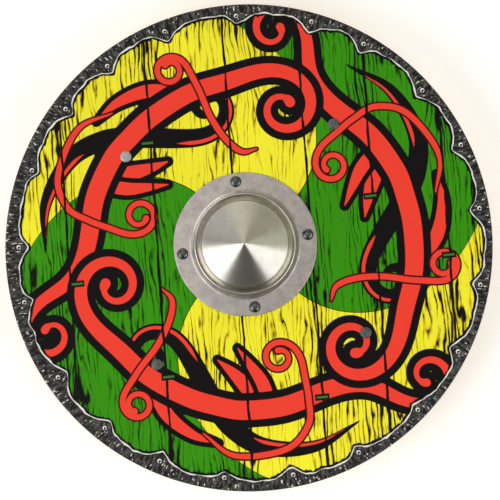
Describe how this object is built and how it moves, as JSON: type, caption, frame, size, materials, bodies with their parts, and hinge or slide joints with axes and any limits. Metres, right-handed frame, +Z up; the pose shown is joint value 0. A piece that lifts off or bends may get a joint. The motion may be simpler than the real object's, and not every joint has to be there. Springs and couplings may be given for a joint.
{
  "type": "wooden round shield",
  "caption": "Round wooden play shield: flat painted plywood board, pressed metal boss held by rivets, and two leather straps riveted to the back. Lies face up on its straps.",
  "frame": {"origin": "on the surface the shield lies on, straight below the middle of the board", "axes": "+Z up out of the painted face, +Y along the two back straps, +X from the arm strap to the hand strap"},
  "size_m": [0.38, 0.38, 0.062],
  "materials": {
    "painted_board": "printed plywood, satin lacquer on the face, bare birch on the back",
    "boss_metal": "pressed sheet, turned finish on the cone, satin flange",
    "rivet_steel": "dull plated steel",
    "strap_leather": "dark brown smooth leather, stitched edges"
  },
  "bodies": {
    "root": {"board": "painted_board", "boss": "boss_metal", "boss_rivet_east": "rivet_steel", "boss_rivet_north": "rivet_steel", "boss_rivet_west": "rivet_steel", "boss_rivet_south": "rivet_steel", "arm_strap": "strap_leather", "hand_strap": "strap_leather", "arm_strap_rivet_top": "rivet_steel", "arm_strap_rivet_bottom": "rivet_steel", "hand_strap_rivet_top": "rivet_steel", "hand_strap_rivet_bottom": "rivet_steel"}
  },
  "joints": []
}
